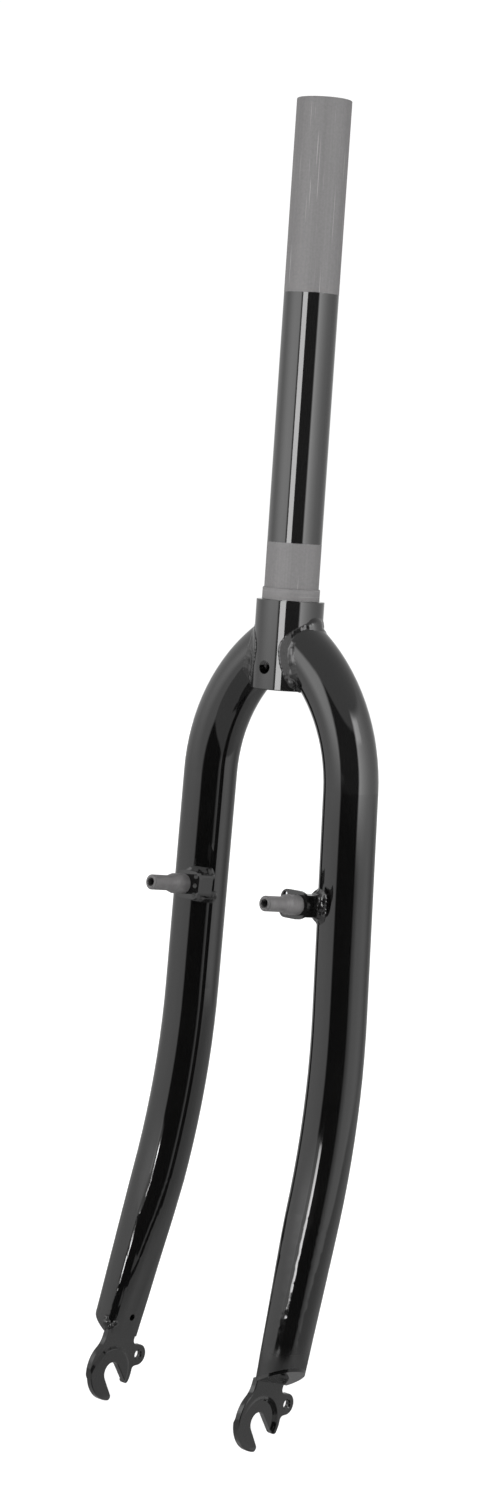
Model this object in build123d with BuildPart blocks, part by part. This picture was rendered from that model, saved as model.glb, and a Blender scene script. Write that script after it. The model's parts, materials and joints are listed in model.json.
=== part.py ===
"""Rigid steel bicycle fork for a threadless headset and rim brakes.

Millimetres. The origin is on the steerer axis at the shoulder the crown race sits on.
+Z runs up the steerer, +X is the rider's left and -Y points forward.
"""

import os
from math import acos, cos, degrees, radians, sin, sqrt, tan

from build123d import *

# Steerer tube
steerer_diameter = 28.6
steerer_wall = 1.6
steerer_top = 258.0
steerer_foot = 35.0
steerer_foot_diameter = 28.2
rim_round = 0.4

# Crown sleeve round the foot of the steerer, with the turned seat for the crown race on top
sleeve_diameter = 35.6
sleeve_height = 46.5
sleeve_edge = 0.4
seat_diameter = 30.1
seat_height = 6.5
seat_lead = 0.4
braze_gap = 0.05
crown_hole_diameter = 7.0
crown_hole_drop = 35.0

# Blades: a bend out of the crown, a straight run, a forward bend, then a straight run to the dropout
blade_diameter = 28.6
blade_wall = 1.5
crown_bend_radius = 89.0
blade_half_spacing = 48.4
crown_bend_end = 95.2
flare_angle = 1.54
straight_length = 116.0
rake_radius = 392.0
rake_angle = 15.4
blade_centre_y = 0.8

# Lower end of each blade, pressed flat on its inner side and closed by a sloping cap.
# Each press step pairs a share of the way from the forward bend to the end with a share of the press.
end_diameter = 26.8
end_corner = 4.0
end_drop = 399.3
press_steps = ((0.15, 0.1), (0.5, 0.47), (1, 1), (1.1, 1.1))
corner_mid_angle = 118.0
corner_end_angle = 140.0
cap_slope = 30.0
cap_lip = 0.9
cap_thickness = 1.5
vent_diameter = 3.6
vent_back = 2.2
vent_up = 8.9

# Dropouts
hub_width = 100.0
plate_thickness = 3.2
dish_depth = 1.2
axle_drop = 418.4
axle_forward = 45.0
slot_width = 11.0
slot_front_angle = 27.0
slot_rear_angle = 32.0
disc_radius = 16.5
disc_back = 0.5
disc_up = 1.4
dish_radius = 13.0
dish_recess_radius = 11.6
dish_draft = 1.2
dish_front_angle = 120.0
dish_front_radius = 26.0
neck_width = 24.0
neck_back = 6.8
neck_level = 19.0
neck_lean = 20.0
neck_corner = 12.0
tang_height = 24.0
eyelet_back = 21.3
eyelet_up = 5.7
eyelet_radius = 5.6
eyelet_hole = 4.2
eyelet_lead = 0.7
eyelet_corner = 2.4
hook_round = 2.0
prong_round = 1.9
plate_edge = 0.6

# Brake bosses
stud_half_spacing = 39.2
stud_drop = 156.0
stud_tilt = 5.5
stud_diameter = 8.0
stud_tip_forward = 51.4
stud_tip_chamfer = 0.8
stud_flare_forward = 38.0
shoulder_forward = 34.0
shoulder_diameter = 10.6
stud_thread_hole = 5.0
stud_thread_depth = 14.0
spigot_diameter = 6.0
spring_plate_forward = 25.8
spring_plate_thickness = 2.3
spring_plate_height = 14.8
spring_plate_inward = 11.0
spring_plate_corner = 4.0
spring_hole = 2.7
spring_hole_inward = 8.3
spring_hole_pitch = 4.9
boss_height = 11.5
boss_inward = 5.5
boss_outward = 6.0
boss_corner = 1.5
boss_foot_forward = 8.5

# Derived sizes
steerer_radius = steerer_diameter / 2
sleeve_radius = sleeve_diameter / 2
blade_radius = blade_diameter / 2
hub_face = hub_width / 2
plate_inner = hub_face + dish_depth
plate_outer = plate_inner + plate_thickness
flare = radians(flare_angle)
rake = radians(rake_angle)
leg = Vector(sin(flare), 0, -cos(flare))
leg_out = Vector(cos(flare), 0, sin(flare))
leg_end = leg * cos(rake) + Vector(0, -1, 0) * sin(rake)
bend_end = Vector(blade_half_spacing, blade_centre_y, -crown_bend_end)
bend_centre = bend_end - leg_out * crown_bend_radius
rake_start = bend_end + leg * straight_length
rake_centre = rake_start - Vector(0, 1, 0) * rake_radius
boss_axis = Vector(0, -cos(radians(stud_tilt)), sin(radians(stud_tilt)))
boss_origin = Vector(stud_half_spacing, 0, -stud_drop)


def on_crown_bend(angle):
    turn = radians(angle)
    return bend_centre + Vector(cos(turn), 0, sin(turn)) * crown_bend_radius


def on_rake(turn):
    return rake_centre + Vector(0, 1, 0) * (rake_radius * cos(turn)) + leg * (rake_radius * sin(turn))


def boss_plane(forward):
    return Plane(origin=boss_origin + boss_axis * forward, x_dir=(1, 0, 0), z_dir=boss_axis)


rake_end = on_rake(rake)
crown_angle = degrees(acos(-bend_centre.X / crown_bend_radius))
blade_top = on_crown_bend(crown_angle)
blade_top_dir = Vector(sin(radians(crown_angle)), 0, -cos(radians(crown_angle)))
end_reach = (end_drop + rake_end.Z) / -leg_end.Z
end_point = rake_end + leg_end * end_reach
end_flat = end_point.X - plate_inner
cap_dir = leg_end * cos(radians(cap_slope)) + leg_out * sin(radians(cap_slope))
cap_point = Vector(plate_outer - cap_lip, end_point.Y, end_point.Z)
cap_seat = Plane(origin=cap_point - cap_dir * cap_thickness, z_dir=cap_dir)


def end_plane(distance):
    return Plane(origin=rake_end + leg_end * distance, x_dir=leg_out, z_dir=leg_end)


def section_line(radius, flat, corner, press):
    """Outline of the blade in its end plane: round, with its inner side pressed towards a flat."""
    now_radius = radius[0] + (radius[1] - radius[0]) * press
    now_flat = radius[0] + (flat - radius[0]) * press
    now_corner = radius[0] + (corner - radius[0]) * press
    across = corner - flat
    lean = across / (radius[1] - corner)
    if press == 0:
        tangent = Vector(now_radius * lean, now_radius * sqrt(1 - lean * lean))
        mid = Vector(cos(radians(corner_mid_angle)), sin(radians(corner_mid_angle))) * now_radius
        foot = Vector(cos(radians(corner_end_angle)), sin(radians(corner_end_angle))) * now_radius
    else:
        reach = now_radius - now_corner
        middle = now_corner - now_flat
        half = sqrt(reach * reach - middle * middle)
        tangent = Vector(middle, half) * (now_radius / reach)
        foot = Vector(-now_flat, half)
        aim = (tangent - Vector(middle, half)).normalized() + Vector(-1, 0)
        mid = Vector(middle, half) + aim.normalized() * now_corner
    ThreePointArc((tangent.X, -tangent.Y), (now_radius, 0), (tangent.X, tangent.Y))
    ThreePointArc((tangent.X, tangent.Y), (mid.X, mid.Y), (foot.X, foot.Y))
    if press == 0:
        ThreePointArc((foot.X, foot.Y), (-now_radius, 0), (foot.X, -foot.Y))
    else:
        Line((foot.X, foot.Y), (foot.X, -foot.Y))
    ThreePointArc((foot.X, -foot.Y), (mid.X, -mid.Y), (tangent.X, -tangent.Y))


def blade_body(inset):
    """The blade drawn at its outer skin, or inset by the wall for its hollow."""
    radius = (blade_radius - inset, end_diameter / 2 - inset)
    with BuildPart() as body:
        with BuildLine() as path:
            ThreePointArc(blade_top, on_crown_bend((crown_angle + flare_angle) / 2), bend_end)
            Line(bend_end, rake_start)
            ThreePointArc(rake_start, on_rake(rake / 2), rake_end)
        with BuildSketch(Plane(origin=blade_top, x_dir=(0, 1, 0), z_dir=blade_top_dir)):
            Circle(radius[0])
        sweep(path=path.line)
        for step, press in ((0, 0), *press_steps):
            with BuildSketch(end_plane(end_reach * step)):
                with BuildLine():
                    section_line(radius, end_flat - inset, end_corner - inset, press)
                make_face()
        loft()
        split(bisect_by=Plane(origin=cap_point, z_dir=cap_dir), keep=Keep.BOTTOM)
        split(bisect_by=Plane(origin=end_point, z_dir=leg_end), keep=Keep.BOTTOM)
    return body.part


# The foot is turned down to a shoulder that sits on top of the sleeve.
with BuildPart() as steerer_tube:
    with BuildSketch(Plane.XY.offset(seat_height)):
        Circle(steerer_radius)
    extrude(amount=steerer_top - seat_height)
    with BuildSketch(Plane.XY.offset(-steerer_foot)):
        Circle(steerer_foot_diameter / 2)
    extrude(amount=seat_height + steerer_foot)
    with BuildSketch(Plane.XY.offset(-steerer_foot)):
        Circle(steerer_radius - steerer_wall)
    extrude(amount=steerer_top + steerer_foot, mode=Mode.SUBTRACT)
    fillet(steerer_tube.edges().group_by(Axis.Z)[-1], radius=rim_round)
    with BuildSketch(Plane.XZ.offset(-sleeve_diameter)):
        with Locations((0, -crown_hole_drop)):
            Circle(crown_hole_diameter / 2)
    extrude(amount=2 * sleeve_diameter, mode=Mode.SUBTRACT)

with BuildPart() as crown_sleeve:
    with BuildSketch(Plane.XY.offset(-sleeve_height)):
        Circle(sleeve_radius)
    extrude(amount=sleeve_height)
    fillet(crown_sleeve.edges().group_by(Axis.Z)[0], radius=sleeve_edge)
    with BuildSketch(Plane.XY):
        Circle(seat_diameter / 2)
    extrude(amount=seat_height)
    chamfer(crown_sleeve.edges().group_by(Axis.Z)[-1], length=seat_lead)
    with BuildSketch(Plane.XY.offset(-sleeve_height)):
        Circle(steerer_foot_diameter / 2 + braze_gap)
    extrude(amount=sleeve_height + seat_height, mode=Mode.SUBTRACT)
    with BuildSketch(Plane.XZ.offset(-sleeve_diameter)):
        with Locations((0, -crown_hole_drop)):
            Circle(crown_hole_diameter / 2)
    extrude(amount=2 * sleeve_diameter, mode=Mode.SUBTRACT)


def from_axle(back, up):
    return (-axle_forward + back, -axle_drop + up)


neck_slope = tan(radians(neck_lean))
neck_front = neck_back - neck_width / 2
neck_rear = neck_back + neck_width / 2
slot_reach = 2 * disc_radius
slot_front = Vector(-cos(radians(slot_front_angle)), -sin(radians(slot_front_angle))) * (slot_width / 2)
slot_rear = Vector(cos(radians(slot_rear_angle)), sin(radians(slot_rear_angle))) * (slot_width / 2)
front_wall = Vector(sin(radians(slot_front_angle)), -cos(radians(slot_front_angle))) * slot_reach
rear_wall = Vector(sin(radians(slot_rear_angle)), -cos(radians(slot_rear_angle))) * slot_reach
hook_tip = slot_front + front_wall / 2
prong_tip = slot_rear + rear_wall / 2
front_root = neck_front - neck_slope * (neck_level - disc_radius)
rear_root = neck_rear - neck_slope * (neck_level - eyelet_up - eyelet_radius)
cone_align = (Align.CENTER, Align.CENTER, Align.MIN)


def nearest_corner(sketch, back, up):
    y, z = from_axle(back, up)
    return sketch.vertices().sort_by_distance((y, z, 0))[0]


def dish_body(face, radius):
    """The pressed area, sunk from one face: a disc about the axle that runs out over the front hook."""
    turn = radians(dish_front_angle)
    spread = dish_front_radius - dish_radius
    hook_side = Plane(origin=(face, -axle_forward, -axle_drop), z_dir=(0, -sin(turn), cos(turn)))
    with BuildPart() as hook:
        y, z = from_axle(-spread * cos(turn), -spread * sin(turn))
        with Locations(Plane(origin=(face, y, z), z_dir=(-1, 0, 0))):
            Cone(radius + spread + dish_draft, radius + spread, dish_depth, align=cone_align)
        split(bisect_by=hook_side, keep=Keep.TOP)
    with BuildPart() as body:
        with Locations(Plane(origin=(face, -axle_forward, -axle_drop), z_dir=(-1, 0, 0))):
            Cone(radius + dish_draft, radius, dish_depth, align=cone_align)
        add(hook.part)
    return body.part


def dish_surround():
    """The metal pressed away from the inner face, all round the dish that stays level with the hub."""
    with BuildPart() as body:
        with BuildSketch(Plane.YZ.offset(hub_face)):
            with Locations(from_axle(0, 0)):
                Circle(2 * (eyelet_back + tang_height))
        extrude(amount=dish_depth)
        add(dish_body(plate_inner, dish_radius), mode=Mode.SUBTRACT)
    return body.part


with BuildPart() as dropout_left:
    with BuildSketch(Plane.YZ.offset(hub_face)) as outline:
        with Locations(from_axle(disc_back, disc_up)):
            Circle(disc_radius)
        with Locations(from_axle(eyelet_back, eyelet_up)):
            Circle(eyelet_radius)
        with BuildLine():
            Polyline(
                from_axle(neck_front - neck_slope * neck_level, 0),
                from_axle(neck_rear - neck_slope * neck_level, 0),
                from_axle(neck_rear + neck_slope * (tang_height - neck_level), tang_height),
                from_axle(neck_front + neck_slope * (tang_height - neck_level), tang_height),
                close=True,
            )
        make_face()
        with BuildLine():
            Polyline(
                from_axle(0, eyelet_up - eyelet_radius),
                from_axle(eyelet_back, eyelet_up - eyelet_radius),
                from_axle(eyelet_back, eyelet_up + eyelet_radius),
                from_axle(0, eyelet_up + 2 * eyelet_radius),
                close=True,
            )
        make_face()
        with Locations(from_axle(0, 0)):
            Circle(slot_width / 2, mode=Mode.SUBTRACT)
        with BuildLine():
            Polyline(
                from_axle(slot_front.X, slot_front.Y),
                from_axle(slot_front.X + front_wall.X, slot_front.Y + front_wall.Y),
                from_axle(slot_rear.X + rear_wall.X, slot_rear.Y + rear_wall.Y),
                from_axle(slot_rear.X, slot_rear.Y),
                close=True,
            )
        make_face(mode=Mode.SUBTRACT)
        fillet(nearest_corner(outline, front_root, disc_radius), radius=neck_corner)
        fillet(nearest_corner(outline, rear_root, eyelet_up + eyelet_radius), radius=eyelet_corner)
        fillet(nearest_corner(outline, disc_radius, eyelet_up - eyelet_radius), radius=eyelet_corner)
        fillet(nearest_corner(outline, hook_tip.X, hook_tip.Y), radius=hook_round)
        fillet(nearest_corner(outline, prong_tip.X, prong_tip.Y), radius=prong_round)
    extrude(amount=plate_outer - hub_face)
    low_edges = dropout_left.edges().filter_by(lambda edge: edge.center().Z < -axle_drop + neck_level)
    fillet(low_edges.filter_by(Axis.X, reverse=True), radius=plate_edge)
    add(dish_surround(), mode=Mode.SUBTRACT)
    add(dish_body(plate_outer, dish_recess_radius), mode=Mode.SUBTRACT)
    with BuildSketch(Plane.YZ.offset(hub_face)):
        with Locations(from_axle(eyelet_back, eyelet_up)):
            Circle(eyelet_hole / 2)
    extrude(amount=plate_outer - hub_face, mode=Mode.SUBTRACT)
    for face, inward in ((plate_inner, 1), (plate_outer, -1)):
        y, z = from_axle(eyelet_back, eyelet_up)
        with Locations(Plane(origin=(face, y, z), z_dir=(inward, 0, 0))):
            lead_radius = eyelet_hole / 2 + eyelet_lead
            Cone(lead_radius, eyelet_hole / 2, eyelet_lead, align=cone_align, mode=Mode.SUBTRACT)
    add(blade_body(0), mode=Mode.SUBTRACT)

with BuildPart() as blade_left:
    add(blade_body(0))
    add(blade_body(blade_wall), mode=Mode.SUBTRACT)
    with BuildSketch(Plane.XY.offset(-sleeve_height)):
        Circle(sleeve_radius)
    extrude(amount=sleeve_height, mode=Mode.SUBTRACT)
    split(bisect_by=cap_seat, keep=Keep.BOTTOM)
    with BuildSketch(Plane.YZ.offset(plate_inner)):
        with Locations((end_point.Y + vent_back + tan(rake) * vent_up, end_point.Z + vent_up)):
            Circle(vent_diameter / 2)
    extrude(amount=2 * blade_wall, both=True, mode=Mode.SUBTRACT)

with BuildPart() as blade_cap_left:
    add(blade_body(0))
    split(bisect_by=cap_seat, keep=Keep.TOP)

with BuildPart() as brake_boss_left:
    with BuildSketch(boss_plane(spring_plate_forward - spring_plate_thickness)):
        with Locations(((boss_outward - boss_inward) / 2, 0)):
            RectangleRounded(boss_inward + boss_outward, boss_height, boss_corner)
    extrude(amount=-(spring_plate_forward - spring_plate_thickness - boss_foot_forward))
    add(blade_body(0), mode=Mode.SUBTRACT)

with BuildPart() as spring_plate_left:
    with BuildSketch(boss_plane(spring_plate_forward)) as plate_face:
        with Locations((-spring_plate_inward / 2, 0)):
            Rectangle(spring_plate_inward, spring_plate_height)
        fillet(plate_face.vertices().group_by(Axis.X)[0], radius=spring_plate_corner)
        Circle(spring_plate_height / 2)
        Circle(spigot_diameter / 2, mode=Mode.SUBTRACT)
        with Locations(*[(-spring_hole_inward, spring_hole_pitch * row) for row in (-1, 0, 1)]):
            Circle(spring_hole / 2, mode=Mode.SUBTRACT)
    extrude(amount=-spring_plate_thickness)

with BuildPart() as brake_stud_left:
    with BuildSketch(Plane(origin=boss_origin, x_dir=boss_axis, z_dir=(1, 0, 0))):
        with BuildLine():
            Polyline(
                (spring_plate_forward - spring_plate_thickness, 0),
                (spring_plate_forward - spring_plate_thickness, spigot_diameter / 2),
                (spring_plate_forward, spigot_diameter / 2),
                (spring_plate_forward, shoulder_diameter / 2),
                (shoulder_forward, shoulder_diameter / 2),
                (stud_flare_forward, stud_diameter / 2),
                (stud_tip_forward - stud_tip_chamfer, stud_diameter / 2),
                (stud_tip_forward, stud_diameter / 2 - stud_tip_chamfer),
                (stud_tip_forward, stud_thread_hole / 2),
                (stud_tip_forward - stud_thread_depth, stud_thread_hole / 2),
                (stud_tip_forward - stud_thread_depth - stud_thread_hole / 4, 0),
                close=True,
            )
        make_face()
    revolve(axis=Axis(boss_origin, boss_axis))

with BuildPart() as blade_right:
    mirror(blade_left.part, about=Plane.YZ)

with BuildPart() as blade_cap_right:
    mirror(blade_cap_left.part, about=Plane.YZ)

with BuildPart() as dropout_right:
    mirror(dropout_left.part, about=Plane.YZ)

with BuildPart() as brake_boss_right:
    mirror(brake_boss_left.part, about=Plane.YZ)

with BuildPart() as spring_plate_right:
    mirror(spring_plate_left.part, about=Plane.YZ)

with BuildPart() as brake_stud_right:
    mirror(brake_stud_left.part, about=Plane.YZ)

steerer_tube.part.label = "steerer_tube"
crown_sleeve.part.label = "crown_sleeve"
blade_left.part.label = "blade_left"
blade_right.part.label = "blade_right"
blade_cap_left.part.label = "blade_cap_left"
blade_cap_right.part.label = "blade_cap_right"
dropout_left.part.label = "dropout_left"
dropout_right.part.label = "dropout_right"
brake_boss_left.part.label = "brake_boss_left"
brake_boss_right.part.label = "brake_boss_right"
spring_plate_left.part.label = "spring_plate_left"
spring_plate_right.part.label = "spring_plate_right"
brake_stud_left.part.label = "brake_stud_left"
brake_stud_right.part.label = "brake_stud_right"

os.makedirs("parts", exist_ok=True)
for piece in (
    steerer_tube,
    crown_sleeve,
    blade_left,
    blade_right,
    blade_cap_left,
    blade_cap_right,
    dropout_left,
    dropout_right,
    brake_boss_left,
    brake_boss_right,
    spring_plate_left,
    spring_plate_right,
    brake_stud_left,
    brake_stud_right,
):
    export_step(piece.part, f"parts/{piece.part.label}.step")
    print(piece.part.label, len(piece.part.solids()), round(piece.part.volume, 1))
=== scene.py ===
import json
import math

import bpy
from mathutils import Matrix, Vector


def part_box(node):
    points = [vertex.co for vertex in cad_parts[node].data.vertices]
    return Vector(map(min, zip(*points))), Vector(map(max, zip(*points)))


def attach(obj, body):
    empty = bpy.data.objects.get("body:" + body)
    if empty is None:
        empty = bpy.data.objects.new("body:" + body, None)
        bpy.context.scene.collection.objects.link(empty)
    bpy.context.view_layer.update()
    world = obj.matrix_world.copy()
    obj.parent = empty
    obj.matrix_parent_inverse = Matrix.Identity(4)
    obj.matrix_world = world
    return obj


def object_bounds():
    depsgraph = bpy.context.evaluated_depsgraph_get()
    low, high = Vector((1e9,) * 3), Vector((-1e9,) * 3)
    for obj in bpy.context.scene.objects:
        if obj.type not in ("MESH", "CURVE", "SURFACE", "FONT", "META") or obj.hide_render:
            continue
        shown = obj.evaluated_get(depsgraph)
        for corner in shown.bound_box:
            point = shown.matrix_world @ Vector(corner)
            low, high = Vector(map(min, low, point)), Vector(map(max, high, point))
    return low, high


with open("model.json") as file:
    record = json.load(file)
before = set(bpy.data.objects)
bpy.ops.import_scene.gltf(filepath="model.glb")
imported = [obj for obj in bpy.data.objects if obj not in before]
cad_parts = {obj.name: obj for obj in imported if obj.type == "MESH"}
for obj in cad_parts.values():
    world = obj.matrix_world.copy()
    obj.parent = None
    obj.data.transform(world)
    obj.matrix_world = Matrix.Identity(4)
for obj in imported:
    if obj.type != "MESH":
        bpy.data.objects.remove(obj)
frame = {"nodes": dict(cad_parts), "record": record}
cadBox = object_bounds()
nodes = frame["nodes"]
mounts = {mount["name"]: mount for mount in frame["record"]["mounts"]}
scene = bpy.context.scene
print("frame loaded:", len(nodes), "pieces")


# one socket of a node tree: sums and products of sockets add their Math nodes
class Shade:
    def __init__(self, tree, out=None):
        self.tree = tree
        self.out = out

    def add(self, kind, settings=None, sockets=None, out=0):
        node = self.tree.nodes.new(kind)
        for name, value in (settings or {}).items():
            setattr(node, name, value)
        for name, value in (sockets or {}).items():
            if isinstance(value, Shade):
                self.tree.links.new(value.out, node.inputs[name])
            else:
                node.inputs[name].default_value = value
        return Shade(self.tree, node.outputs[out] if len(node.outputs) else None)

    def other(self, out):
        return Shade(self.tree, self.out.node.outputs[out])

    def part(self, axis):
        return self.add("ShaderNodeSeparateXYZ", sockets={0: self}, out=axis)

    def math(self, operation, first, second=0.0):
        return self.add("ShaderNodeMath", {"operation": operation}, {0: first, 1: second})

    def rise(self, low, high):
        sockets = {"Value": self, "From Min": low, "From Max": high}
        return self.add("ShaderNodeMapRange", {"interpolation_type": "SMOOTHSTEP"}, sockets)

    def within(self, low, high, soft):
        return self.rise(low - soft, low + soft) * (1 - self.rise(high - soft, high + soft))

    def __add__(self, other):
        return self.math("ADD", self, other)

    def __radd__(self, other):
        return self.math("ADD", other, self)

    def __sub__(self, other):
        return self.math("SUBTRACT", self, other)

    def __rsub__(self, other):
        return self.math("SUBTRACT", other, self)

    def __mul__(self, other):
        return self.math("MULTIPLY", self, other)

    def __rmul__(self, other):
        return self.math("MULTIPLY", other, self)

    def __neg__(self):
        return self.math("MULTIPLY", self, -1.0)

    def __abs__(self):
        return self.math("ABSOLUTE", self)


def addObject(name, data):
    added = bpy.data.objects.new(name, data)
    scene.collection.objects.link(added)
    return added


def ring(count, radius):
    turns = [2 * math.pi * i / count for i in range(count)]
    return [(math.cos(turn) * radius, math.sin(turn) * radius) for turn in turns]


# the camera stands where the photo was taken from, found from the fork's own straight edges
cameraView = {
    "place": (0.98429, -1.17308, 0.06004),
    "right": (0.75253713, 0.65515932, 0.06673933),
    "down": (0.11002846, -0.02516586, -0.99360979),
    "ahead": (-0.64929316, 0.75507148, -0.09102441),
    "focalPixels": 2929.0,
    "imageHeight": 1500.0,
    "sensor": 36.0,
    "nearest": 0.05,
    "farthest": 20.0,
}


def placeCamera(view):
    lens = bpy.data.cameras.new("photoCamera")
    lens.sensor_width = view["sensor"]
    lens.lens = view["focalPixels"] / view["imageHeight"] * view["sensor"]
    lens.clip_start = view["nearest"]
    lens.clip_end = view["farthest"]
    camera = addObject("photoCamera", lens)
    axes = (Vector(view["right"]), -Vector(view["down"]), -Vector(view["ahead"]))
    turn = Matrix(axes).transposed().to_4x4()
    camera.matrix_world = Matrix.Translation(view["place"]) @ turn
    scene.camera = camera


placeCamera(cameraView)
print("camera placed")


white = (1, 1, 1, 1)
black = (0, 0, 0, 1)


# a finish reads its marks from the piece's own place in metres
def startFinish(name):
    finish = bpy.data.materials.new(name)
    finish.use_nodes = True
    finish.node_tree.nodes.clear()
    shade = Shade(finish.node_tree)
    place = shade.add("ShaderNodeTexCoord", out="Object")
    return finish, shade, place


def endFinish(shade, sockets, kind="BsdfPrincipled"):
    surface = shade.add("ShaderNode" + kind, sockets=sockets)
    shade.add("ShaderNodeOutputMaterial", sockets={"Surface": surface})


def grain(place, scale, detail=2.0, stretch=(1, 1, 1)):
    scaled = place.add("ShaderNodeVectorMath", {"operation": "MULTIPLY"}, {0: place, 1: stretch})
    return place.add("ShaderNodeTexNoise", sockets={"Vector": scaled, "Scale": scale, "Detail": detail})


# how far an edge strays from its line, in metres
def wander(place, scale, reach):
    return reach * (grain(place, scale) - 0.5)


def blendColours(mask, first, second):
    sockets = {"Factor": mask, 6: first, 7: second}
    return mask.add("ShaderNodeMix", {"data_type": "RGBA"}, sockets, out=2)


def blend(mask, first, second):
    return first * (1 - mask) + second * mask


def bump(height, strength, depth):
    sockets = {"Height": height, "Strength": strength, "Distance": depth}
    return height.add("ShaderNodeBump", sockets=sockets)


# a round tent of white cloth stands close about the fork, open towards the camera
lightTent = {
    "radius": 0.9,
    "bottom": -1.6,
    "top": 0.95,
    "panels": 144,
    "toCamera": (0.6493, -0.7551),
    "toRight": (0.7525, 0.6552),
    "brightest": 12.0,
    "roofLight": 0.87,
    "backdrop": 1.05,
    "lampRing": 0.97,  # the lamps stand at this share of the radius
}

# the tent's light is drawn by angle from the camera, in degrees, and by height, in metres
# a change is an amount and the two angles between which it comes in
leftWall = {
    "edge": (36.5, 44.5),  # angles between which the wall fades in
    "low": 1.45,
    "lowChanges": ((-0.85, 70, 145),),
    "high": 3.75,
    "highChanges": ((-2.5, 60, 115), (-0.6, 108, 165)),
    "step": (-0.24, 0.05),  # heights between which low turns into high
    "roof": (0.3, 0.44),  # heights between which the roof's light takes over
}

rightWall = {
    "edge": (29.0, 37.0),
    "low": 0.75,
    "lowChanges": ((0.85, 34, 55), (-1.1, 78, 120)),
    "high": 0.75,
    "glow": 4.6,  # strongest at glowFrom, and fades over glowReach degrees
    "glowFrom": 36,
    "glowReach": 125,
    "panel": 2.2,  # added within the two angles and the two heights below, with soft edges
    "panelTurn": (37, 58, 4),
    "panelHeight": (0.27, 0.52, 0.04),
    "step": (-0.22, -0.12),
    "roof": (0.46, 0.64),
}

tentOpening = {
    "low": 0.02,
    "high": 0.14,
    "step": (-0.18, -0.12),
    "roof": (0.33, 0.4),
}

# below the walls the tent is as light as a floor, and its edge rises to either side of the camera
tentFoot = {
    "light": 0.73,
    "height": -0.53,
    "curve": 0.00007,  # rise for the square of the angle
    "curveEnd": 1600.0,  # the largest square that counts
    "soft": 0.015,
    "behind": (0.45, 100, 150),  # share taken off behind the fork, and between which angles
}


def changeLight(turn, light, changes):
    for amount, start, stop in changes:
        light = light + amount * turn.rise(start, stop)
    return light


def lightLeft(turn, height, wall, roof):
    low = changeLight(turn, wall["low"], wall["lowChanges"])
    high = changeLight(turn, wall["high"], wall["highChanges"])
    light = blend(height.rise(*wall["step"]), low, high)
    return blend(height.rise(*wall["roof"]), light, roof)


def lightRight(turn, height, wall, roof):
    low = changeLight(turn, wall["low"], wall["lowChanges"])
    reach = turn.math("MAXIMUM", 1 - (turn - wall["glowFrom"]) * (1 / wall["glowReach"]), 0.0)
    panel = wall["panel"] * turn.within(*wall["panelTurn"]) * height.within(*wall["panelHeight"])
    high = wall["high"] + wall["glow"] * reach * reach * reach + panel
    light = blend(height.rise(*wall["step"]), low, high)
    return blend(height.rise(*wall["roof"]), light, roof)


def lightOpening(height, gap, roof):
    light = blend(height.rise(*gap["step"]), gap["low"], gap["high"])
    return blend(height.rise(*gap["roof"]), light, roof)


def wallLight(turn, height, roof, foot):
    leftTurn = -turn
    onLeft = leftTurn.rise(*leftWall["edge"])
    onRight = turn.rise(*rightWall["edge"])
    light = lightOpening(height, tentOpening, roof) * (1 - onLeft) * (1 - onRight)
    light = light + lightLeft(leftTurn, height, leftWall, roof) * onLeft
    light = light + lightRight(turn, height, rightWall, roof) * onRight
    edge = foot["curve"] * turn.math("MINIMUM", turn * turn, foot["curveEnd"]) + foot["height"]
    below = (edge - height).rise(-foot["soft"], foot["soft"])
    taken, start, stop = foot["behind"]
    footLight = foot["light"] * (1 - taken * abs(turn).rise(start, stop))
    return blend(below, light, footLight)


def lightScene(tent):
    world = bpy.data.worlds.new("roofAndBackdrop")
    scene.world = world
    world.use_nodes = True
    world.node_tree.nodes.clear()
    sky = Shade(world.node_tree)
    roof = sky.add("ShaderNodeBackground", sockets={"Color": white, "Strength": tent["roofLight"]})
    backdrop = sky.add("ShaderNodeBackground", sockets={"Color": white, "Strength": tent["backdrop"]})
    seen = sky.add("ShaderNodeLightPath", out="Is Camera Ray")
    both = sky.add("ShaderNodeMixShader", sockets={0: seen, 1: roof, 2: backdrop})
    sky.add("ShaderNodeOutputWorld", sockets={"Surface": both})
    scene.view_settings.view_transform = "Standard"
    scene.view_settings.look = "None"

    mesh = bpy.data.meshes.new("lightTent")
    count = tent["panels"]
    rim = ring(count, tent["radius"])
    points = [(x, y, tent["bottom"]) for x, y in rim] + [(x, y, tent["top"]) for x, y in rim]
    panels = [(i, i + count, (i + 1) % count + count, (i + 1) % count) for i in range(count)]
    mesh.from_pydata(points, [], panels)
    cloth, shade, place = startFinish("tentCloth")
    x = place.part("X")
    y = place.part("Y")
    ahead = x * tent["toCamera"][0] + y * tent["toCamera"][1]
    aside = x * tent["toRight"][0] + y * tent["toRight"][1]
    turn = shade.math("ARCTAN2", aside, ahead) * (180 / math.pi)
    light = wallLight(turn, place.part("Z"), tent["roofLight"], tentFoot) * (1 / tent["brightest"])
    full = (tent["brightest"],) * 3 + (1,)
    endFinish(shade, {"Color": blendColours(light, black, full)}, "Emission")
    mesh.materials.append(cloth)
    wall = addObject("lightTent", mesh)
    wall.visible_camera = False


lightScene(lightTent)
print("light tent set up")


# a dim sheet lies low in front of the dropouts and only reflections see it: it stands in for the shade
# there and puts a painted dark reflection into the dropouts' sunk rims
reflectedShadeSheet = {"radius": 0.17, "corners": 48, "place": (0.19, -0.09, -0.6), "light": 0.14}


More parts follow.
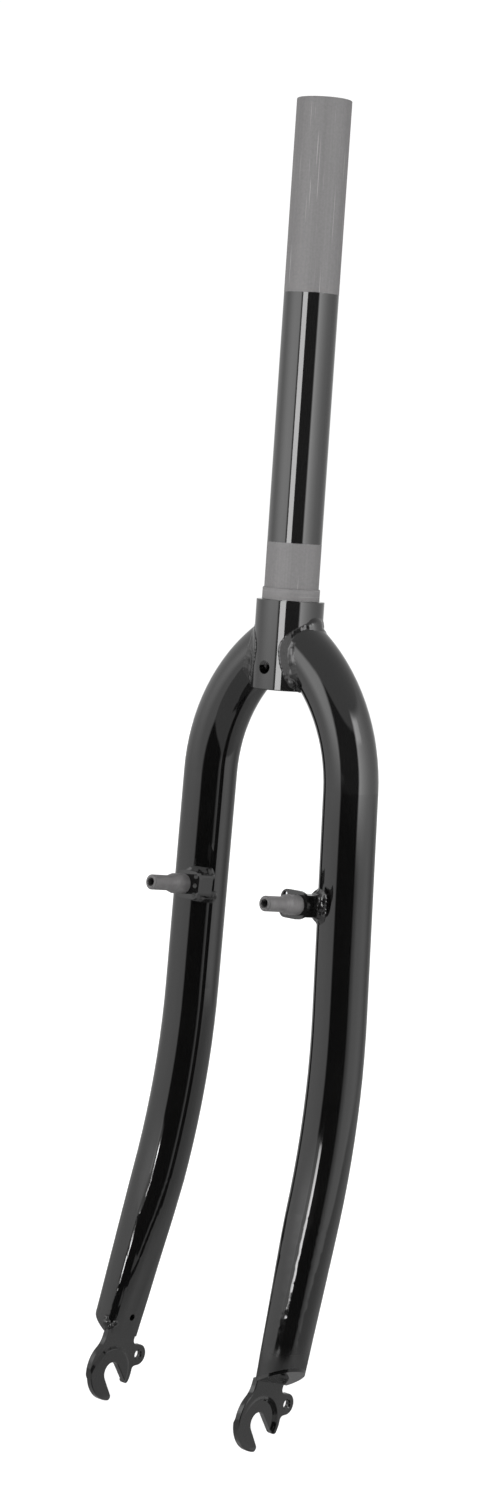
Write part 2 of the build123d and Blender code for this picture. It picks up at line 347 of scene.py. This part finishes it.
def layReflectedShade(shadeSheet):
    mesh = bpy.data.meshes.new("reflectedShadeSheet")
    middle = Vector(shadeSheet["place"])
    rim = [middle + Vector((x, y, 0)) for x, y in ring(shadeSheet["corners"], shadeSheet["radius"])]
    mesh.from_pydata(rim, [], [tuple(range(shadeSheet["corners"]))])
    finish, shade, place = startFinish("reflectedShadeSheet")
    # a dim glow seen only in reflections: painted shade, not a real mat
    endFinish(shade, {"Color": white, "Strength": shadeSheet["light"]}, "Emission")
    mesh.materials.append(finish)
    sheet = addObject("reflectedShadeSheet", mesh)
    sheet.visible_camera = False
    sheet.visible_diffuse = False
    sheet.visible_shadow = False


layReflectedShade(reflectedShadeSheet)
print("mat laid")


# lamps stand just inside the tent: a tall strip for the steerer, the sleeve and the small welds,
# a wide one for the crown welds, and low ones with narrow beams for the raked ends of the blades
stripLamps = {
    "steererLamp": {
        "turn": (-34.5, -15.0),
        "height": (-0.165, 0.28),
        "aim": (0, 0, 0.055),
        "light": 11.0,
        "spread": 180,
        "lights": ("steerer_tube", "crown_sleeve", "boss_weld_left", "boss_weld_right",
                   "dropout_weld_left", "dropout_weld_right"),
    },
    "leftBladeLamp": {
        "turn": (-26.5, -16.5),
        "height": (-0.192, -0.095),
        "aim": (0.03, -0.02, -0.325),
        "light": 0.3,
        "spread": 26,
        "lights": ("blade_left",),
    },
    "rightBladeLamp": {
        "turn": (-36.0, -24.0),
        "height": (-0.178, -0.157),
        "aim": (-0.0485, -0.0235, -0.302),
        "light": 0.018,
        "spread": 3.5,
        "lights": ("blade_right",),
    },
    "rightEndLamp": {
        "turn": (-38.5, -31.0),
        "height": (-0.246, -0.22),
        "aim": (-0.051, -0.038, -0.3555),
        "light": 0.024,
        "spread": 5,
        "lights": ("blade_right",),
    },
    "weldLamp": {
        "turn": (-62.0, 6.0),
        "height": (-0.3, 0.3),
        "aim": (0, 0, 0),
        "light": 1.9,
        "spread": 180,
        "lights": ("crown_weld_left", "crown_weld_right"),
    },
    "bladeFill": {
        "turn": (-43.0, -27.0),
        "height": (-0.2, -0.09),
        "aim": (0.03, -0.02, -0.325),
        "light": 0.045,
        "spread": 30,
        "lights": (),  # all the pieces
    },
}


def addLamp(name, lamp, tent):
    distance = tent["radius"] * tent["lampRing"]
    low, high = lamp["height"]
    ends = []
    for angle in lamp["turn"]:
        ahead = Vector((*tent["toCamera"], 0)) * math.cos(math.radians(angle))
        aside = Vector((*tent["toRight"], 0)) * math.sin(math.radians(angle))
        ends.append((ahead + aside) * distance)
    middle = (ends[0] + ends[1]) / 2 + Vector((0, 0, (low + high) / 2))
    light = bpy.data.lights.new(name, "AREA")
    light.shape = "RECTANGLE"
    light.size = (ends[1] - ends[0]).length
    light.size_y = high - low
    light.energy = math.pi * light.size * light.size_y * lamp["light"]
    light.spread = math.radians(lamp["spread"])
    source = addObject(name, light)
    facing = (middle - Vector(lamp["aim"])).normalized()
    level = Vector((0, 0, 1)).cross(facing).normalized()
    turn = Matrix((level, facing.cross(level), facing)).transposed().to_4x4()
    source.matrix_world = Matrix.Translation(middle) @ turn
    source.visible_camera = False
    if lamp["lights"]:
        source.light_linking.receiver_collection = bpy.data.collections.new(name + "Lights")
    return source


lamps = {name: addLamp(name, lamp, lightTent) for name, lamp in stripLamps.items()}


# a lamp that lists pieces lights those only
def lightPiece(piece):
    for name, lamp in stripLamps.items():
        if piece.name in lamp["lights"]:
            lamps[name].light_linking.receiver_collection.objects.link(piece)


for node in nodes.values():
    lightPiece(node)
print("lamps placed")


# a pair of roughness shares is the least one and what the pattern adds to it
paint = {
    "deep": (0.0025, 0.0025, 0.0026, 1),
    "thin": (0.005, 0.0049, 0.0048, 1),
    "colourScale": 45.0,
    "roughness": 0.05,
    "roughShares": (0.7, 0.6),
    "roughScale": 30.0,
    "peelScale": 260.0,
    "peelDepth": 0.000005,
    "peelStrength": 0.35,
    "weldRoughness": 0.13,  # added on the welds
}

steel = {
    "dark": (0.05, 0.0487, 0.0493, 1),
    "light": (0.187, 0.182, 0.183, 1),
    "scratch": (0.26, 0.255, 0.255, 1),
    "roughness": 0.62,
    "roughShares": (0.75, 0.5),
    "metallic": 0.2,
    "streakScale": 900.0,
    "streakDetail": 4.0,
    "broadScale": 60.0,
    "fineScale": 800.0,
    "mix": (0.45, 0.3, 0.25),  # shares of streaks, broad marks and fine marks in the colour
    "scratchScale": 1700.0,
    "scratchEdge": (0.7, 0.76),
}


def roughen(setup, pattern):
    least, more = setup["roughShares"]
    return setup["roughness"] * (least + more * pattern)


def paintCoat(place):
    colour = blendColours(grain(place, paint["colourScale"]), paint["deep"], paint["thin"])
    gloss = roughen(paint, grain(place, paint["roughScale"]))
    peel = grain(place, paint["peelScale"], detail=1.0)
    return colour, gloss, peel


def peelBump(height):
    return bump(height, paint["peelStrength"], paint["peelDepth"])


def bareSteel(place, stretch, lift=0.0):
    streaks = grain(place, steel["streakScale"], steel["streakDetail"], stretch)
    broad = grain(place, steel["broadScale"], stretch=stretch)
    fine = grain(place, steel["fineScale"], detail=1.0)
    streakShare, broadShare, fineShare = steel["mix"]
    marks = streaks * streakShare + broad * broadShare + fine * fineShare + lift
    colour = blendColours(marks, steel["dark"], steel["light"])
    scratches = grain(place, steel["scratchScale"], 1.0, stretch).rise(*steel["scratchEdge"])
    colour = blendColours(scratches, colour, steel["scratch"])
    return colour, roughen(steel, streaks), streaks


def makePaint(name, extraRough=0.0):
    finish, shade, place = startFinish(name)
    colour, gloss, peel = paintCoat(place)
    endFinish(shade, {"Base Color": colour, "Roughness": gloss + extraRough, "Normal": peelBump(peel)})
    return finish


# the left blade's paint is coarser at its closed end, where the welding heat was
bladeEnd = {
    "from": -0.3735,
    "to": -0.3875,
    "ragged": 0.006,  # how far up and down the edge of the coarse paint wanders
    "raggedScale": 110.0,
    "roughness": 0.45,
}


def makeBladeFinish(end):
    finish, shade, place = startFinish("bladePaint")
    edge = wander(place, end["raggedScale"], end["ragged"]) - place.part("Z")
    coarse = edge.rise(-end["from"], -end["to"])
    colour, gloss, peel = paintCoat(place)
    gloss = gloss + end["roughness"] * coarse
    endFinish(shade, {"Base Color": colour, "Roughness": gloss, "Normal": peelBump(peel)})
    return finish


# the dropouts' sunk area was pressed with a soft rim, steepest behind the axle slot
dishRim = {
    "from": 0.0122,  # metres from the axle
    "to": 0.0146,
    "lift": 0.0016,
}


def makeDropoutFinish(rim):
    finish, shade, place = startFinish("dropoutPaint")
    colour, gloss, peel = paintCoat(place)
    axle = Vector(mounts["axle_slots"]["pos_m"])
    back = place.part("Y") - axle.y
    up = place.part("Z") - axle.z
    radius = shade.math("SQRT", back * back + up * up)
    rear = shade.math("DIVIDE", back, radius) * 0.5 + 0.5  # 1 behind the axle, 0 in front of it
    facing = shade.add("ShaderNodeNewGeometry", out="True Normal").part("X")
    outside = shade.math("SIGN", place.part("X") * facing)  # the sunk area stands out on the inner face
    pressed = outside * rear * radius.rise(rim["from"], rim["to"]) * rim["lift"]
    shape = bump(pressed + peel * (paint["peelStrength"] * paint["peelDepth"]), 1.0, 1.0)
    endFinish(shade, {"Base Color": colour, "Roughness": gloss, "Normal": shape})
    return finish


# the steerer's paint stops at crisp masked lines, with bare tube above and below
steererPaint = {
    "low": 0.030,
    "high": 0.159,
    "edge": 0.00025,
    "ragged": 0.0004,
    "raggedScale": 180.0,
    "lip": 6,  # thickness of the paint at its masked edge, in depths of its peel
    "streakDepth": 0.35,  # of the bare tube's streaks, in the same depths
    "stretch": (1, 1, 0.012),  # draws the streaks out along the tube
}


def makeSteererFinish(setup):
    finish, shade, place = startFinish("steererSteelAndPaint")
    ragged = place.part("Z") + wander(place, setup["raggedScale"], setup["ragged"])
    painted = ragged.within(setup["low"], setup["high"], setup["edge"])
    coatColour, coatGloss, peel = paintCoat(place)
    tubeColour, tubeGloss, streaks = bareSteel(place, setup["stretch"])
    colour = blendColours(painted, tubeColour, coatColour)
    gloss = blend(painted, tubeGloss, coatGloss)
    shape = peelBump(blend(painted, setup["streakDepth"] * streaks, setup["lip"] + peel))
    metal = (1 - painted) * steel["metallic"]
    endFinish(shade, {"Base Color": colour, "Roughness": gloss, "Metallic": metal, "Normal": shape})
    return finish


# the crown race seat is turned and left bare, and the paint starts at its shoulder
seatSteel = {
    "paintTop": 0.0003,
    "edge": 0.0001,
    "stretch": (0.02, 0.02, 2.0),  # draws the marks out round the seat
    "lift": 0.1,
}


def makeSleeveFinish(seat):
    finish, shade, place = startFinish("sleevePaintAndSeat")
    bare = place.part("Z").rise(seat["paintTop"] - seat["edge"], seat["paintTop"] + seat["edge"])
    coatColour, coatGloss, peel = paintCoat(place)
    seatColour, seatGloss, rings = bareSteel(place, seat["stretch"], seat["lift"])
    colour = blendColours(bare, coatColour, seatColour)
    gloss = blend(bare, coatGloss, seatGloss)
    shape = peelBump(blend(bare, peel, rings))
    metal = bare * steel["metallic"]
    endFinish(shade, {"Base Color": colour, "Roughness": gloss, "Metallic": metal, "Normal": shape})
    return finish


# turning marks run round the studs, so these rings change along the stud's axis only
studTurning = {
    "ringScale": 2600.0,
    "broadScale": 300.0,
    "mix": (0.6, 0.4),  # shares of rings and broad marks in the colour
    "lift": 0.1,
    "roughness": steel["roughness"],
    "roughShares": (0.6, 0.5),
    "ringStrength": 0.4,
    "ringDepth": 0.00002,
}


def makeStudFinish(axis, setup):
    finish, shade, place = startFinish("turnedSteel")
    sockets = {0: place, 1: axis}
    along = shade.add("ShaderNodeVectorMath", {"operation": "DOT_PRODUCT"}, sockets, out="Value")
    sockets = {"W": along, "Scale": setup["ringScale"], "Detail": 2.0}
    rings = shade.add("ShaderNodeTexNoise", {"noise_dimensions": "1D"}, sockets)
    broad = grain(place, setup["broadScale"])
    ringShare, broadShare = setup["mix"]
    marks = rings * ringShare + broad * broadShare + setup["lift"]
    endFinish(shade, {
        "Base Color": blendColours(marks, steel["dark"], steel["light"]),
        "Roughness": roughen(setup, rings),
        "Metallic": steel["metallic"],
        "Normal": bump(rings, setup["ringStrength"], setup["ringDepth"]),
    })
    return finish


studAxis = Vector(mounts["brake_stud_left"]["axis"])
glossPaint = makePaint("glossBlackPaint")
weldPaint = makePaint("paintedWeld", paint["weldRoughness"])
studSteel = makeStudFinish(studAxis, studTurning)
finishes = {
    "steerer_tube": makeSteererFinish(steererPaint),
    "crown_sleeve": makeSleeveFinish(seatSteel),
    "blade_left": makeBladeFinish(bladeEnd),
    "brake_stud_left": studSteel,
    "brake_stud_right": studSteel,
}
finishes["dropout_left"] = finishes["dropout_right"] = makeDropoutFinish(dishRim)
for name, node in nodes.items():
    node.data.materials.clear()
    node.data.materials.append(finishes.get(name, glossPaint))
print("finishes made")


# starts a Geometry Nodes tree with named inputs, one of them its Finish
def startTree(name, inputs, output):
    tree = bpy.data.node_groups.new(name, "GeometryNodeTree")
    for word, kind in inputs.items():
        tree.interface.new_socket(word, in_out="INPUT", socket_type="NodeSocket" + kind)
    tree.interface.new_socket(output, in_out="OUTPUT", socket_type="NodeSocketGeometry")
    return tree, Shade(tree).add("NodeGroupInput")


def endTree(given, mesh, output):
    sockets = {"Geometry": mesh, "Material": given.other("Finish")}
    done = given.add("GeometryNodeSetMaterial", sockets=sockets)
    given.add("NodeGroupOutput", sockets={output: done})


def readAttribute(given, name, kind):
    return given.add("GeometryNodeInputNamedAttribute", {"data_type": kind}, {"Name": name})


def turnOutward(given, along):
    axes = {"primary_axis": "Z", "secondary_axis": "X"}
    sockets = {"Primary Axis": readAttribute(given, "outward", "FLOAT_VECTOR"), "Secondary Axis": along}
    return given.add("FunctionNodeAxesToRotation", axes, sockets)


# a tree that lays overlapping scales of weld metal along a seam, each one turned to face outwards
def makeBeadTree():
    inputs = {"Seam": "Geometry", "Pitch": "Float", "Length": "Float", "Width": "Float",
              "Height": "Float", "Unevenness": "Float", "Seed": "Int", "Finish": "Material"}
    tree, given = startTree("weldBead", inputs, "Bead")
    line = given.add("GeometryNodeMeshToCurve", sockets={"Mesh": given.other("Seam")})
    sockets = {"Curve": line, "Length": given.other("Pitch")}
    steps = given.add("GeometryNodeResampleCurve", {"mode": "LENGTH"}, sockets)
    turn = turnOutward(given, given.add("GeometryNodeInputTangent"))
    sockets = {2: -1.0, 3: 1.0, "Seed": given.other("Seed")}  # a random value between these two
    spread = given.add("FunctionNodeRandomValue", {"data_type": "FLOAT"}, sockets, out=1)
    size = readAttribute(given, "size", "FLOAT") * (1 + spread * given.other("Unevenness"))
    scale = given.add("ShaderNodeCombineXYZ", sockets={
        0: given.other("Length") * size, 1: given.other("Width") * size, 2: given.other("Height") * size})
    scaleOfMetal = given.add("GeometryNodeMeshIcoSphere", sockets={"Radius": 1.0, "Subdivisions": 3})
    lumps = given.add("GeometryNodeInstanceOnPoints", sockets={
        "Points": steps, "Instance": scaleOfMetal, "Rotation": turn, "Scale": scale})
    whole = given.add("GeometryNodeRealizeInstances", sockets={"Geometry": lumps})
    smooth = given.add("GeometryNodeSetShadeSmooth", sockets={"Geometry": whole})
    endTree(given, smooth, "Bead")
    return tree


# one mesh of lines: each row has its points, the way each one faces, its share of full size
# and whether the row closes
def seamMesh(name, rows):
    points = []
    edges = []
    outward = []
    sizes = []
    for places, facing, shares, closed in rows:
        start = len(points)
        count = len(places)
        edges += [(start + i, start + (i + 1) % count) for i in range(count if closed else count - 1)]
        points += places
        outward += facing
        sizes += shares
    mesh = bpy.data.meshes.new(name)
    mesh.from_pydata(points, edges, [])
    mesh.attributes.new("outward", "FLOAT_VECTOR", "POINT")
    mesh.attributes.new("size", "FLOAT", "POINT")
    mesh.attributes["outward"].data.foreach_set("vector", [x for direction in outward for x in direction])
    mesh.attributes["size"].data.foreach_set("value", sizes)
    return mesh


# evaluates a tree on a line, fuses what overlaps into one skin and keeps the result as a plain mesh
def growPiece(name, tree, line, inputs, finish, skin=None):
    carrier = addObject(name + "Line", line)
    grow = carrier.modifiers.new("grow", "NODES")
    grow.node_group = tree
    settings = {**inputs, "Finish": finish}
    for socket in tree.interface.items_tree:
        if socket.name in settings:
            grow[socket.identifier] = settings[socket.name]
    if skin:
        fuse = carrier.modifiers.new("fuse", "REMESH")
        fuse.mode = "VOXEL"
        fuse.voxel_size = skin["voxel"]
        fuse.use_smooth_shade = True
        soften = carrier.modifiers.new("soften", "SMOOTH")
        soften.factor = 0.5
        soften.iterations = skin["soften"]
    ready = carrier.evaluated_get(bpy.context.evaluated_depsgraph_get())
    mesh = bpy.data.meshes.new_from_object(ready)
    bpy.data.objects.remove(carrier)
    mesh.name = name
    mesh.materials.clear()
    mesh.materials.append(finish)
    for attribute in [a.name for a in mesh.attributes if a.name in ("outward", "size")]:
        mesh.attributes.remove(mesh.attributes[attribute])
    piece = addObject(name, mesh)
    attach(piece, "root")
    print(name, len(mesh.polygons), "faces")
    return piece


beadTree = makeBeadTree()
sides = {"left": 1, "right": -1}

# the left blade's path from the crown, with the CAD's own sizes
bladeTube = {
    "radius": 0.0143,
    "bendRadius": 0.089,
    "halfSpacing": 0.0484,
    "bendEnd": -0.0952,
    "flare": math.radians(1.54),
    "middle": 0.0008,  # the blades stand this far behind the steerer's axis
}
legDown = Vector((math.sin(bladeTube["flare"]), 0, -math.cos(bladeTube["flare"])))
legOut = Vector((math.cos(bladeTube["flare"]), 0, math.sin(bladeTube["flare"])))
bendEnd = Vector((bladeTube["halfSpacing"], bladeTube["middle"], bladeTube["bendEnd"]))
bendCentre = bendEnd - legOut * bladeTube["bendRadius"]


def mirrored(points, side):
    return [Vector((point.x * side, point.y, point.z)) for point in points]


# a weld has a root row in the corner of two walls and side rows set off along either wall
weldLay = {
    "lean": 0.3,  # share of the other wall's facing that a side row keeps
    "humpStep": 0.2,  # length of a hump's own line, as a share of a step of the seam
}


# for each point of a seam, the ways up the first wall and out along the second
def wallWays(points, first, second, closed):
    count = len(points)
    ways = []
    for i in range(count):
        before = points[i - 1] if closed or i else points[0]
        after = points[(i + 1) % count] if closed or i < count - 1 else points[i]
        run = (after - before).normalized()
        up = run.cross(first[i])
        out = run.cross(second[i])
        ways.append((up if up.dot(second[i]) > 0 else -up, out if out.dot(first[i]) > 0 else -out))
    return ways


def weldRows(seam, weld, closed):
    points, first, second, shares = seam
    count = len(points)
    ways = wallWays(points, first, second, closed)
    rows = []
    for onFirst, onSecond, size in weld["rows"]:
        toFirst = 1 if onFirst >= onSecond else weldLay["lean"]
        toSecond = 1 if onSecond >= onFirst else weldLay["lean"]
        sunk = onSecond ** 2 / (2 * bladeTube["radius"])  # follows the blade's round wall
        places = []
        facing = []
        for i, (up, out) in enumerate(ways):
            lean = (first[i] * toFirst + second[i] * toSecond).normalized()
            place = points[i] + (up * onFirst + out * onSecond) * shares[i] - second[i] * sunk
            places.append(place - lean * weld["depth"] * size * shares[i])
            facing.append(lean)
        rows.append((places, facing, [size * share for share in shares], closed))
    for share, onFirst, onSecond, size in weld["humps"]:
        i = int(share * count) % count
        up, out = ways[i]
        lean = (first[i] + second[i]).normalized()
        place = points[i] + up * onFirst + out * onSecond - lean * weld["depth"] * size
        step = (points[(i + 1) % count] - points[i]) * weldLay["humpStep"]
        rows.append(([place, place + step], [lean] * 2, [size] * 2, False))
    return rows


def layBead(name, seam, closed, weld, side):
    rows = [(mirrored(places, side), mirrored(facing, side), shares, closes)
            for places, facing, shares, closes in weldRows(seam, weld, closed)]
    line = seamMesh(name + "Seam", rows)
    words = ("Pitch", "Length", "Width", "Height", "Unevenness", "Seed")
    inputs = {word: weld[word.lower()] for word in words}
    bead = growPiece(name, beadTree, line, inputs, weldPaint, weld["skin"])
    lightPiece(bead)


# the crown welds follow the line where each bent blade meets the sleeve
# a row is its offsets along the two walls and its size, and a hump has its place on the seam first
crownWeld = {
    "pitch": 0.0021,
    "length": 0.0044,
    "width": 0.0042,
    "height": 0.0021,
    "depth": 0.001,  # how far the middle of each scale lies inside the metal
    "unevenness": 0.08,
    "skin": {"voxel": 0.0003, "soften": 26},
    "rows": ((0, 0, 0.8), (0.0017, 0, 0.7), (0.0034, 0, 0.45), (0, 0.0022, 0.6), (0, 0.0045, 0.35)),
    "humps": (
        (0.0, 0.0022, 0, 1.2),
        (0.965, 0.0016, 0, 0.8),
        (0.66, 0.001, 0, 0.9),
        (0.63, 0.003, 0, 0.6),
    ),
    "edgeShare": 0.3,  # the weld thins to this share at the sleeve's bottom edge
    "edgeRise": 0.011,  # height over which it gains a full share
    "thinnest": 322,  # degrees round the blade, between its top and its front
    "thinning": 0.4,  # share taken off there
    "underFrom": 0.002,  # the weld starts to turn under the edge this far above it
    "underOver": 0.004,  # and has turned after this much
    "steps": 180,
    "seed": 3,
}


def crownSeam(weld):
    low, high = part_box("crown_sleeve")
    sleeveRadius = high.x
    thinnest = math.radians(weld["thinnest"])
    points = []
    walls = []
    tubes = []
    shares = []
    for i in range(weld["steps"]):
        t = 2 * math.pi * i / weld["steps"]
        reach = bladeTube["bendRadius"] + bladeTube["radius"] * math.cos(t)
        y = bladeTube["middle"] + bladeTube["radius"] * math.sin(t)
        x = math.sqrt(sleeveRadius ** 2 - y ** 2)
        bend = math.acos((x - bendCentre.x) / reach)
        z = bendCentre.z + reach * math.sin(bend)
        share = min(1.0, weld["edgeShare"] + max(0.0, z - low.z) / weld["edgeRise"])
        if math.cos(t) > 0:
            share *= 1 - weld["thinning"] * max(0.0, math.cos(2 * (t - thinnest)))
        under = min(1.0, max(0.0, (low.z + weld["underFrom"] - z) / weld["underOver"]))
        wall = Vector((x, y, 0)).normalized().lerp(Vector((0, 0, -1)), under).normalized()
        if z < low.z:  # the blade's underside meets the sleeve's bottom face
            z = low.z
            bend = math.asin((z - bendCentre.z) / reach)
            x = bendCentre.x + reach * math.cos(bend)
        points.append(Vector((x, y, z)))
        shares.append(share)
        walls.append(wall)
        tubes.append(Vector((math.cos(t) * math.cos(bend), math.sin(t), math.cos(t) * math.sin(bend))))
    return points, walls, tubes, shares


for word, side in sides.items():
    layBead("crown_weld_" + word, crownSeam(crownWeld), True, crownWeld, side)
print("crown welds laid")


# the boss welds run round the foot of each brake boss, all but its inner side
bossWeld = {
    "halfHeight": 0.00575,
    "corner": 0.0015,
    "cornerSteps": 3,
    "pitch": 0.0019,
    "length": 0.0042,
    "width": 0.0044,
    "height": 0.0034,
    "depth": 0.0011,
    "unevenness": 0.06,
    "skin": {"voxel": 0.0003, "soften": 60},
    "rows": ((0, 0, 0.68), (0.0016, 0, 0.42), (0.003, 0, 0.22), (0, 0.0018, 0.46), (0, 0.0036, 0.27)),
    "humps": (
        (0.93, 0.001, 0.001, 0.55),
        (0.8, 0.0008, 0.001, 0.5),
        (0.5, 0.001, 0.0008, 0.5),
        (0.14, 0.001, 0.001, 0.5),
    ),
    "perSide": 12,
    "leftOut": 2,  # points left out at either end
    "seed": 8,
}


# the boss's rounded outline, without its inner side, and the way that each point of it faces
def bossOutline(weld, stud, across, upward):
    low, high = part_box("brake_boss_left")
    steps = weld["cornerSteps"]
    outline = []
    for xSide, zSide in ((-1, -1), (1, -1), (1, 1), (-1, 1)):
        cornerX = (high.x if xSide > 0 else low.x) - stud.x - xSide * weld["corner"]
        cornerZ = zSide * (weld["halfHeight"] - weld["corner"])
        start = math.atan2(zSide, xSide) - math.pi / 4
        for i in range(steps + 1):
            turn = start + i / steps * math.pi / 2
            away = across * math.cos(turn) + upward * math.sin(turn)
            outline.append((across * cornerX + upward * cornerZ + away * weld["corner"], away))
    return outline[steps:-steps]


def bossSeam(weld):
    stud = Vector(mounts["brake_stud_left"]["pos_m"])
    across = Vector((1, 0, 0))
    upward = studAxis.cross(across).normalized()
    if upward.z < 0:
        upward = -upward
    outline = bossOutline(weld, stud, across, upward)
    points = []
    bossSides = []
    walls = []
    for (spot, away), (nextSpot, nextAway) in zip(outline, outline[1:]):
        straight = (nextSpot - spot).length > weld["corner"]
        parts = weld["perSide"] if straight else 1
        for k in range(parts):
            mix = k / parts
            start = stud + spot.lerp(nextSpot, mix) - bendEnd
            # how far back along the stud's axis the blade's round wall stands
            back = -studAxis - legDown * (-studAxis).dot(legDown)
            flat = start - legDown * start.dot(legDown)
            a = back.dot(back)
            b = 2 * flat.dot(back)
            c = flat.dot(flat) - bladeTube["radius"] ** 2
            reach = (-b - math.sqrt(max(b * b - 4 * a * c, 0))) / (2 * a)
            points.append(start + bendEnd - studAxis * reach)
            bossSides.append(away.lerp(nextAway, mix).normalized())
            walls.append((flat + back * reach).normalized())
    kept = slice(weld["leftOut"], -weld["leftOut"])
    return points[kept], bossSides[kept], walls[kept], [1.0] * len(points[kept])


for word, side in sides.items():
    layBead("boss_weld_" + word, bossSeam(bossWeld), False, bossWeld, side)
print("boss welds laid")


# the dropout welds are short: a few lumps by each blade's closed end, inside or over its front corner
dropoutWeld = {
    "spots": {  # where each line of lumps goes, for a left blade, and the way it faces there
        "left": (
            ((0.0508, -0.0414, -0.3958), (-0.99, -0.03, -0.13)),
            ((0.0508, -0.0359, -0.3967), (-0.99, -0.03, -0.12)),
        ),
        "right": (
            ((0.0546, -0.0473, -0.3887), (-0.1, -0.96, 0.25)),
            ((0.0537, -0.0477, -0.3911), (-0.31, -0.92, 0.23)),
            ((0.0517, -0.047, -0.394), (-0.75, -0.65, 0.09)),
            ((0.0505, -0.0438, -0.3914), (-0.99, -0.05, -0.1)),
        ),
    },
    "pitch": 0.0024,
    "length": 0.002,
    "width": 0.0022,
    "height": 0.0017,
    "depth": 0.0003,
    "unevenness": 0.25,
    "skin": {"voxel": 0.00025, "soften": 8},
    "rows": ((0, 0, 1.0),),
    "humps": (),
    "seed": 15,
}


def dropoutSeam(spots):
    points = [Vector(place) for place, facing in spots]
    facings = [Vector(facing).normalized() for place, facing in spots]
    return points, facings, facings, [1.0] * len(points)


for word, side in sides.items():
    layBead("dropout_weld_" + word, dropoutSeam(dropoutWeld["spots"][word]), False, dropoutWeld, side)
print("dropout welds laid")


# thread ridges stand in the studs' bolt holes, on helices of the bolts' own pitch
boltThread = {
    "holes": ("brake_bolt_left", "brake_bolt_right"),
    "pitch": 0.001,
    "depth": 0.0003,
    "start": 0.0071,  # how far out from the mount's middle the ridge ends
    "length": 0.0135,
}


def makeThreadTree():
    inputs = {"Hole": "Geometry", "Turns": "Float", "Radius": "Float", "Length": "Float",
              "Depth": "Float", "Finish": "Material"}
    tree, given = startTree("threadRidge", inputs, "Ridge")
    helix = given.add("GeometryNodeCurveSpiral", sockets={
        "Resolution": 40, "Rotations": given.other("Turns"), "Start Radius": given.other("Radius"),
        "End Radius": given.other("Radius"), "Height": given.other("Length")})
    profile = given.add("GeometryNodeCurvePrimitiveCircle", {"mode": "RADIUS"},
                        {"Resolution": 6, "Radius": given.other("Depth")})
    ridge = given.add("GeometryNodeCurveToMesh", sockets={
        "Curve": helix, "Profile Curve": profile, "Fill Caps": True})
    turn = turnOutward(given, (0.0, 0.0, 1.0))
    placed = given.add("GeometryNodeInstanceOnPoints", sockets={
        "Points": given.other("Hole"), "Instance": ridge, "Rotation": turn})
    whole = given.add("GeometryNodeRealizeInstances", sockets={"Geometry": placed})
    endTree(given, whole, "Ridge")
    return tree


def cutThread(name, thread, tree):
    hole = mounts[name]
    axis = Vector(hole["axis"])
    bottom = Vector(hole["pos_m"]) + axis * (thread["start"] - thread["length"])
    inputs = {
        "Turns": thread["length"] / thread["pitch"],
        "Radius": hole["dims"]["r_mm"] / 1000,
        "Length": thread["length"],
        "Depth": thread["depth"],
    }
    line = seamMesh(name + "Hole", [([bottom], [axis], [1.0], False)])
    growPiece(name + "_thread", tree, line, inputs, studSteel)


threadTree = makeThreadTree()
for name in boltThread["holes"]:
    cutThread(name, boltThread, threadTree)
print("threads cut")


# a wide pale floor well below the fork, so that nothing of it shows as an edge
floorSheet = {
    "half": 6.0,
    "below": 0.3,
    "colours": ((0.86, 0.86, 0.86, 1), (0.9, 0.9, 0.9, 1)),
    "colourScale": 3.0,
    "roughness": 0.9,
    "light": 0.45,
}


def layFloor(sheet, bottom):
    mesh = bpy.data.meshes.new("paleFloor")
    half = sheet["half"]
    level = bottom - sheet["below"]
    corners = [(-half, -half, level), (half, -half, level), (half, half, level), (-half, half, level)]
    mesh.from_pydata(corners, [], [(0, 1, 2, 3)])
    floor = addObject("paleFloor", mesh)
    finish, shade, place = startFinish("paleFloor")
    endFinish(shade, {
        "Base Color": blendColours(grain(place, sheet["colourScale"]), *sheet["colours"]),
        "Roughness": sheet["roughness"],
        "Emission Color": white,
        "Emission Strength": sheet["light"],
    })
    mesh.materials.append(finish)
    floor.visible_glossy = False


layFloor(floorSheet, cadBox[0][2])
print("floor laid")
